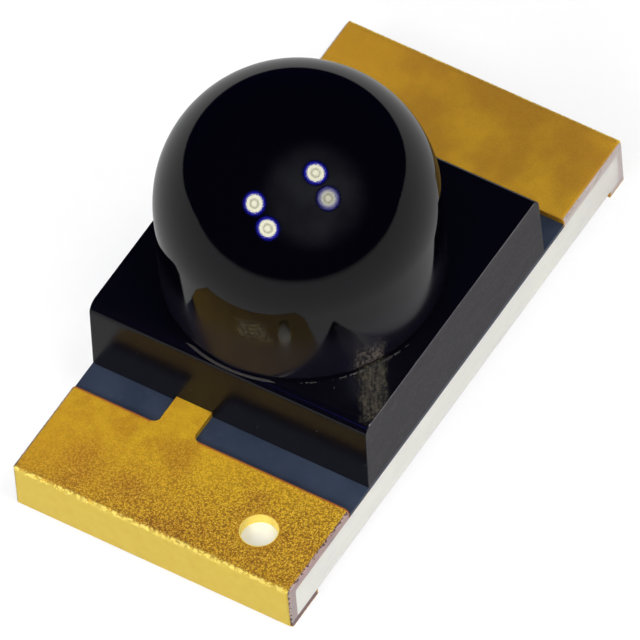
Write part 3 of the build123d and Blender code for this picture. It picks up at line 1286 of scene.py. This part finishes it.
@dataclass
class Moulding:
    """Black block across the board with the lens on top, in one shot of epoxy."""

    lens_finish: MouldedEpoxyFinish
    block_finish: MouldedEpoxyFinish
    sawn_finish: SawnEpoxyFinish
    flash_finish: MouldedEpoxyFinish
    levels: Levels = field(default_factory=Levels)
    half_length: float = 0.84
    half_width: float = 0.8
    draft_degrees: float = 2.0
    end_radius: float = 0.06
    saw_edge: float = 0.005
    lens_x: float = -0.095
    lens_radius: float = 0.715
    barrel: float = 0.50
    groove_depth: float = 0.012
    groove_height: float = 0.020
    flash_towards: Vector = field(default_factory=lambda: Vector((-0.56, -0.83, 0)))
    steps: int = 192

    def block(self) -> bmesh.types.BMesh:
        """Models the block, drafted at its ends and sawn on its sides.

        Returns:
            The block, in millimetres.
        """
        low, high = self.levels.resist_top, self.levels.mould_top
        slope = math.tan(math.radians(self.draft_degrees))
        foot = self.half_length - (low - self.levels.core_top) * slope
        head = self.half_length - (high - self.levels.core_top) * slope
        bm = bmesh.new()
        corners = [(-foot, low), (foot, low), (head, high), (-head, high)]
        section = bm.faces.new([bm.verts.new((x, -self.half_width, z)) for x, z in corners])
        pull(bm, [section], (0, 2 * self.half_width, 0))
        bmesh.ops.recalc_face_normals(bm, faces=bm.faces[:])
        tops = edges_along(bm, 1, {0: head, 2: high}) + edges_along(bm, 1, {0: -head, 2: high})
        round_edges(bm, tops, self.end_radius, 10)
        for side in (-1, 1):
            for face in faces_on(bm, 1, side * self.half_width):
                face.material_index = Cut.SAWN.value
                rim = [e for e in face.edges if max(v.co.z for v in e.verts) > low + 1e-4]
                round_edges(bm, rim, self.saw_edge, 2)
        for face in bm.faces:
            if abs(face.normal.y) < 0.3:
                face.material_index = Cut.BLOCK.value
        return bm

    def lens(self) -> bmesh.types.BMesh:
        """Models the barrel and half ball by spinning their profile.

        Returns:
            The lens, in millimetres.
        """
        shoulder = self.levels.mould_top + self.barrel
        foot = self.levels.mould_top
        radius = self.lens_radius
        profile = [(0.0, shoulder + radius)]
        arcs = 64
        for step in range(1, arcs + 1):
            angle = math.pi / 2 * step / arcs
            profile.append((radius * math.sin(angle), shoulder + radius * math.cos(angle)))
        for share in (0.25, 0.5, 0.75):
            profile.append((radius, shoulder - share * self.barrel))
        profile += [
            (radius, foot + self.groove_height),
            (radius - self.groove_depth, foot + 0.3 * self.groove_height),
            (radius - self.groove_depth, foot - self.end_radius),
            (0.0, foot - self.end_radius),
        ]
        bm = bmesh.new()
        points = [bm.verts.new((self.lens_x + r, 0, z)) for r, z in profile]
        edges = [bm.edges.new(pair) for pair in zip(points, points[1:])]
        bmesh.ops.spin(
            bm,
            geom=points + edges,
            cent=(self.lens_x, 0, 0),
            axis=(0, 0, 1),
            angle=2 * math.pi,
            steps=self.steps,
            use_merge=True,
        )
        bmesh.ops.remove_doubles(bm, verts=bm.verts[:], dist=1e-5)
        bmesh.ops.recalc_face_normals(bm, faces=bm.faces[:])
        for face in bm.faces:
            face.material_index = Cut.LENS.value
        return bm

    def flash(self) -> bmesh.types.BMesh:
        """Models the ragged line of flash at the foot of the barrel.

        Returns:
            The flash, in millimetres.
        """
        foot = self.levels.mould_top
        radius = self.lens_radius + 0.006
        bm = bmesh.new()
        ring = [(radius, foot - 0.004), (radius + 0.016, foot - 0.004), (radius + 0.008, foot + 0.004)]
        points = [bm.verts.new((self.lens_x + r, 0, z)) for r, z in ring]
        edges = [bm.edges.new((points[k], points[(k + 1) % 3])) for k in range(3)]
        bmesh.ops.spin(
            bm,
            geom=points + edges,
            cent=(self.lens_x, 0, 0),
            axis=(0, 0, 1),
            angle=2 * math.pi,
            steps=540,
            use_merge=True,
        )
        bmesh.ops.remove_doubles(bm, verts=bm.verts[:], dist=1e-5)
        for vertex in bm.verts:
            if vertex.co.z > foot:
                away = Vector((vertex.co.x - self.lens_x, vertex.co.y, 0)).normalized()
                coarse = noise.noise(vertex.co * 9.0)
                fine = noise.noise(vertex.co * 70.0)
                facing = max(0.0, away.dot(self.flash_towards.normalized()))
                grown = max(0.0, -0.24 + 0.8 * coarse + 1.3 * facing**6) * (1 + 2.2 * fine)
                vertex.co.z = foot - 0.003 + 0.009 * grown
                vertex.co += away * 0.012 * fine
        bmesh.ops.recalc_face_normals(bm, faces=bm.faces[:])
        return bm

    def build(self) -> list[bpy.types.Object]:
        """Builds and dresses the moulding and its flash.

        Returns:
            Both pieces.
        """
        materials = [self.lens_finish.material(), self.block_finish.material(), self.sawn_finish.material()]
        flash = self.flash_finish.material()
        whole = combine(self.block(), self.lens(), "UNION", slots=len(materials))
        return [
            finished(whole, "black_moulding", materials, ["encapsulant"], crease=20),
            finished(self.flash(), "mould_flash", [flash], crease=60, weighted=False),
        ]


@dataclass
class CarriedNodes:
    """CAD nodes whose form is right as it is: the board's core and what is sealed in the moulding."""

    finishes: dict[str, object]

    def dress(self, nodes: dict[str, bpy.types.Object]) -> None:
        """Gives each node its material.

        Args:
            nodes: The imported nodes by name.
        """
        for name, finish in self.finishes.items():
            piece = nodes[name]
            piece.data.materials.clear()
            piece.data.materials.append(finish.material())
            LOG.info("%s: carried over, dressed as %s", name, finish.name)


@dataclass
class Lamp:
    """A round lamp head as the lens mirrors it: direction from the part, and its share of the light."""

    azimuth: float
    elevation: float
    strength: float
    softness: float = 0.1


@dataclass
class Studio:
    """White card, dark surround, four round lamps and the camera."""

    lamps: Sequence[Lamp]
    lamp_distance: float = 160.0
    lamp_half_angle: float = 6.9
    lamp_colour: Colour = (1.0, 0.98, 0.74)
    halo_colour: Colour = (0.03, 0.03, 1.0)
    sky_strength: float = 0.55
    card_front: float = 8.5
    card_back: float = 13.5
    card_side: float = 90.0
    card_fade: float = 3.5
    card_in_mirrors: float = 0.48
    surround_radius: float = 320.0
    camera_azimuth: float = -54.36
    camera_elevation: float = 52.55
    camera_roll: float = -5.395
    camera_distance: float = 100.0
    pixels_per_mm: float = 201.575
    image_width: int = 640
    origin_pixel: tuple[float, float] = (322.015, 338.959)

    def _towards(self, azimuth: float, elevation: float) -> Vector:
        """The unit vector from the part towards a place in the studio."""
        a, e = math.radians(azimuth), math.radians(elevation)
        return Vector((math.sin(a) * math.cos(e), -math.cos(a) * math.cos(e), math.sin(e)))

    def _seen(self, sketch: NodeSketch) -> bpy.types.NodeSocket:
        """1 for rays that show the background: from the camera, a mirror or glass.

        Args:
            sketch: The tree to add to.

        Returns:
            The mask.
        """
        path = sketch.add("ShaderNodeLightPath")
        seen = sketch.math("MAXIMUM", path.outputs["Is Camera Ray"], path.outputs["Is Glossy Ray"])
        return sketch.math("MAXIMUM", seen, path.outputs["Is Transmission Ray"])

    def _stage(self, bm: bmesh.types.BMesh, name: str, material: bpy.types.Material) -> bpy.types.Object:
        """Makes a stage object from a mesh in millimetres.

        Args:
            bm: The mesh, which is freed here.
            name: The object's name.
            material: Its material.

        Returns:
            The object.
        """
        bmesh.ops.scale(bm, vec=(METRE, METRE, METRE), verts=bm.verts[:])
        mesh = bpy.data.meshes.new(name)
        bm.to_mesh(mesh)
        bm.free()
        mesh.materials.append(material)
        made = bpy.data.objects.new(name, mesh)
        bpy.context.scene.collection.objects.link(made)
        LOG.info("%s: stage", name)
        return made

    def world(self) -> None:
        """Sets a white background and an even, soft fill."""
        world = bpy.data.worlds.new("studio")
        world.use_nodes = True
        bpy.context.scene.world = world
        sketch = NodeSketch(world.node_tree)
        background = sketch.add("ShaderNodeBackground")
        output = sketch.add("ShaderNodeOutputWorld")
        background.inputs["Color"].default_value = (1.0, 1.0, 1.0, 1.0)
        strength = sketch.math("MULTIPLY_ADD", self._seen(sketch), 1.0 - self.sky_strength, self.sky_strength)
        sketch.put(background.inputs["Strength"], strength)
        sketch.tree.links.new(background.outputs[0], output.inputs["Surface"])

    def card(self) -> None:
        """Lays the white card that the part stands on."""
        material = bpy.data.materials.new("white_card")
        material.use_nodes = True
        sketch = NodeSketch(material.node_tree)
        diffuse = sketch.add("ShaderNodeBsdfDiffuse")
        diffuse.inputs["Color"].default_value = (0.88, 0.88, 0.88, 1.0)
        glow = sketch.add("ShaderNodeEmission")
        glow.inputs["Color"].default_value = (1.0, 1.0, 1.0, 1.0)
        path = sketch.add("ShaderNodeLightPath")
        mirrored = path.outputs["Is Glossy Ray"]
        coordinates = sketch.add("ShaderNodeTexCoord")
        split = sketch.add("ShaderNodeSeparateXYZ")
        sketch.put(split.inputs[0], coordinates.outputs["Object"])
        back, front, fade = (v * METRE for v in (self.card_back, self.card_front, self.card_fade))
        inside = sketch.math(
            "MULTIPLY",
            sketch.span(split.outputs[1], back, back - fade, 0.08),
            sketch.span(split.outputs[1], -front, fade - front, 0.08),
        )
        dimmed = sketch.math("SUBTRACT", sketch.math("MULTIPLY", inside, self.card_in_mirrors), 1.0)
        sketch.put(glow.inputs["Strength"], sketch.math("MULTIPLY_ADD", mirrored, dimmed, 1.0))
        mixed = sketch.add("ShaderNodeMixShader")
        share = sketch.math("MULTIPLY_ADD", mirrored, 0.28, sketch.math("MULTIPLY", self._seen(sketch), 0.72))
        sketch.put(mixed.inputs[0], share)
        sketch.tree.links.new(diffuse.outputs[0], mixed.inputs[1])
        sketch.tree.links.new(glow.outputs[0], mixed.inputs[2])
        facing = sketch.add("ShaderNodeNewGeometry")
        from_below = sketch.math("MULTIPLY", path.outputs["Is Camera Ray"], facing.outputs["Backfacing"])
        clear = sketch.add("ShaderNodeBsdfTransparent")
        one_sided = sketch.add("ShaderNodeMixShader")
        sketch.put(one_sided.inputs[0], from_below)
        sketch.tree.links.new(mixed.outputs[0], one_sided.inputs[1])
        sketch.tree.links.new(clear.outputs[0], one_sided.inputs[2])
        output = sketch.add("ShaderNodeOutputMaterial")
        sketch.tree.links.new(one_sided.outputs[0], output.inputs["Surface"])
        bm = bmesh.new()
        bmesh.ops.create_grid(bm, x_segments=1, y_segments=1, size=1)
        depth = (self.card_front + self.card_back) / 2
        bmesh.ops.scale(bm, vec=(self.card_side, depth, 1), verts=bm.verts[:])
        bmesh.ops.translate(bm, verts=bm.verts[:], vec=(0, self.card_back - depth, -0.0005))
        made = self._stage(bm, "white_card", material)
        made.rotation_euler = (0.0, 0.0, math.radians(self.camera_azimuth))

    def surround(self) -> None:
        """Hangs the dark surround, which only mirrors show, round the part and its lamps."""
        material = bpy.data.materials.new("dark_surround")
        material.use_nodes = True
        sketch = NodeSketch(material.node_tree)
        coordinates = sketch.add("ShaderNodeTexCoord")
        unit = sketch.add("ShaderNodeVectorMath", operation="NORMALIZE")
        sketch.put(unit.inputs[0], coordinates.outputs["Object"])
        facing = sketch.add("ShaderNodeVectorMath", operation="DOT_PRODUCT")
        sketch.put(facing.inputs[0], unit.outputs[0])
        facing.inputs[1].default_value = self._towards(-30.0, 54.0)
        glow = sketch.span(facing.outputs["Value"], 0.66, 1.0)
        glow = sketch.math("MULTIPLY", glow, sketch.noise(unit.outputs[0], 2.2, 2.0))
        tone = sketch.blend(glow, (0.002, 0.0015, 0.026), (0.60, 0.62, 0.72))
        emission = sketch.add("ShaderNodeEmission")
        sketch.put(emission.inputs["Color"], tone)
        output = sketch.add("ShaderNodeOutputMaterial")
        sketch.tree.links.new(emission.outputs[0], output.inputs["Surface"])
        bm = bmesh.new()
        bmesh.ops.create_icosphere(bm, subdivisions=4, radius=self.surround_radius)
        shell = self._stage(bm, "dark_surround", material)
        shell.visible_camera = False
        shell.visible_diffuse = False
        shell.visible_transmission = False
        shell.visible_shadow = False

    def lamp_material(self, lamp: Lamp) -> bpy.types.Material:
        """Builds a lamp face: bright disc with a darker ring, and a faint blue halo.

        Args:
            lamp: The lamp that it belongs to.

        Returns:
            The material.
        """
        material = bpy.data.materials.new("lamp_face")
        material.use_nodes = True
        sketch = NodeSketch(material.node_tree)
        coordinates = sketch.add("ShaderNodeTexCoord")
        radius = self.lamp_distance * math.tan(math.radians(self.lamp_half_angle)) * METRE
        length = sketch.add("ShaderNodeVectorMath", operation="LENGTH")
        sketch.put(length.inputs[0], coordinates.outputs["Object"])
        share = sketch.math("DIVIDE", length.outputs["Value"], radius)
        disc = sketch.span(share, 1.0 + lamp.softness, 1.0 - lamp.softness)
        ring = sketch.math("SUBTRACT", 1.0, sketch.math("ABSOLUTE", sketch.math("SUBTRACT", share, 0.46)))
        ring = sketch.span(ring, 0.80, 0.97)
        level = sketch.math("MULTIPLY", disc, sketch.math("MULTIPLY_ADD", ring, -0.5, 1.0))
        halo = sketch.math("MULTIPLY", sketch.span(share, 1.48, 1.0), 0.45)
        tone = sketch.blend(disc, self.halo_colour, self.lamp_colour)
        emission = sketch.add("ShaderNodeEmission")
        sketch.put(emission.inputs["Color"], tone)
        total = sketch.math("MULTIPLY", sketch.math("MAXIMUM", level, halo), lamp.strength)
        sketch.put(emission.inputs["Strength"], total)
        output = sketch.add("ShaderNodeOutputMaterial")
        sketch.tree.links.new(emission.outputs[0], output.inputs["Surface"])
        return material

    def light(self) -> None:
        """Hangs the lamps."""
        radius = self.lamp_distance * math.tan(math.radians(self.lamp_half_angle))
        for number, lamp in enumerate(self.lamps, 1):
            bm = bmesh.new()
            bmesh.ops.create_circle(bm, cap_ends=True, segments=64, radius=1.5 * radius)
            head = self._stage(bm, f"lamp_{number}", self.lamp_material(lamp))
            away = self._towards(lamp.azimuth, lamp.elevation)
            head.rotation_mode = "QUATERNION"
            head.rotation_quaternion = (-away).to_track_quat("Z", "Y")
            head.location = away * self.lamp_distance * METRE
            head.visible_camera = False
            head.visible_shadow = False

    def camera(self) -> None:
        """Places the camera at the photograph's angle."""
        back = self._towards(self.camera_azimuth, self.camera_elevation)
        azimuth = math.radians(self.camera_azimuth)
        level = Vector((math.cos(azimuth), math.sin(azimuth), 0))
        rise = back.cross(level)
        turn = math.radians(self.camera_roll)
        right = math.cos(turn) * level + math.sin(turn) * rise
        up = -math.sin(turn) * level + math.cos(turn) * rise
        middle = self.image_width / 2
        across = (middle - self.origin_pixel[0]) / self.pixels_per_mm
        along = (self.origin_pixel[1] - middle) / self.pixels_per_mm
        data = bpy.data.cameras.new("photo_camera")
        data.sensor_width = 36.0
        data.lens = 36.0 * self.pixels_per_mm * self.camera_distance / self.image_width
        data.clip_start = 0.005
        data.clip_end = 2.0
        camera = bpy.data.objects.new("photo_camera", data)
        bpy.context.scene.collection.objects.link(camera)
        place = Matrix((right, up, back)).transposed().to_4x4()
        place.translation = (back * self.camera_distance + right * across + up * along) * METRE
        camera.matrix_world = place
        bpy.context.scene.camera = camera

    def build(self) -> None:
        """Sets up the whole studio."""
        self.world()
        self.card()
        self.surround()
        self.light()
        self.camera()
        bpy.context.scene.view_settings.view_transform = "Standard"


def main() -> None:
    """Builds the photodiode's pieces and the studio round them."""
    logging.basicConfig(level=logging.INFO, format="%(name)s %(message)s")
    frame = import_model()
    nodes = frame["nodes"]

    copper = SawnCopperFinish().material()
    near_gold = GoldFinish("near_gold", (0.76, 0.465, 0.012), (0.51, 0.225, 0.006), (0.70, 0.53, 0.078))
    far_gold = GoldFinish(
        "far_gold",
        (0.76, 0.42, 0.016),
        (0.48, 0.225, 0.013),
        (0.68, 0.50, 0.075),
        coarseness=0.10,
        patch_size=0.5,
        fine_share=0.06,
        rim_share=0.25,
    )
    near = Conductor(
        End.NEAR,
        foot_length=0.25,
        island_from=-0.43,
        island_to=0.24,
        finish=near_gold,
        mark_radius=0.095,
        mark_at=(-1.345, -0.477),
    )
    far = Conductor(End.FAR, foot_length=0.15, island_from=-0.62, island_to=-0.39, finish=far_gold)
    near.build(copper)
    far.build(copper)

    neck = (near.neck_y - near.neck_width / 2, near.neck_y + near.neck_width / 2)
    island = (-near.island_half_width, near.island_half_width)
    film = ResistFilm(
        ResistFinish(),
        openings=[
            (-near.pad_line, near.island_from, *neck),
            (near.island_from, near.island_to, *island),
            (-far.island_to, -far.island_from, *island),
            (-far.island_from, far.pad_line, *neck),
        ],
    )
    film.build()

    moulding = Moulding(
        lens_finish=MouldedEpoxyFinish(
            "lens_epoxy",
            0.016,
            (0.0008, 0.0007, 0.0014),
            texture_depth=0.0001,
            foot_roughness=0.19,
            foot_from=1.12,
            foot_to=0.90,
            spots=(
                Spot((-0.463, -0.613), 0.731, 0.01, 0.93, 0.17, (0.125, 0.105, 0.082)),
                # Painted glint: a dim gold spot in the barrel's reflection of the near pad
                Spot((-0.794, -0.152), 0.96, 0.10, 1.20, 0.12, (0.042, 0.034, 0.016)),
            ),
        ),
        block_finish=MouldedEpoxyFinish(
            "block_epoxy",
            0.035,
            texture_depth=0.0001,
            wave_depth=0.0001,
            dust=0.7,
            end_roughness=0.17,
            scuff_from=(-0.36, -0.56),
            scuff_to=(-0.76, -0.81),
        ),
        sawn_finish=SawnEpoxyFinish(),
        flash_finish=MouldedEpoxyFinish(
            "flash_epoxy", 0.45, (0.034, 0.032, 0.028), texture_depth=0.002, dust=0.9
        ),
    )
    moulding.build()

    carried = CarriedNodes(
        {
            "laminate_core": LaminateFinish(),
            "photodiode_die": SiliconFinish(),
            "die_attach": PlainMetalFinish(
                "silver_glue", (0.52, 0.51, 0.49), (0.36, 0.35, 0.34), 0.6, 0.5, 0.01, 0.003
            ),
            "anode_pad": PlainMetalFinish(
                "bare_aluminium", (0.82, 0.82, 0.83), (0.66, 0.66, 0.68), 1.0, 0.25, 0.004, 0.0004
            ),
            "bond_wire": PlainMetalFinish(
                "drawn_gold", (0.88, 0.60, 0.18), (0.74, 0.46, 0.11), 1.0, 0.22, 0.004, 0.0003
            ),
        }
    )
    carried.dress(nodes)

    studio = Studio(
        lamps=[
            Lamp(-104.7, 43.0, 27.0),
            Lamp(-83.75, 29.8, 27.0),
            Lamp(-6.8, 68.5, 26.0),
            Lamp(-17.2, 47.4, 18.0, softness=0.5),
        ]
    )
    studio.build()


if __name__ == "__main__":
    main()
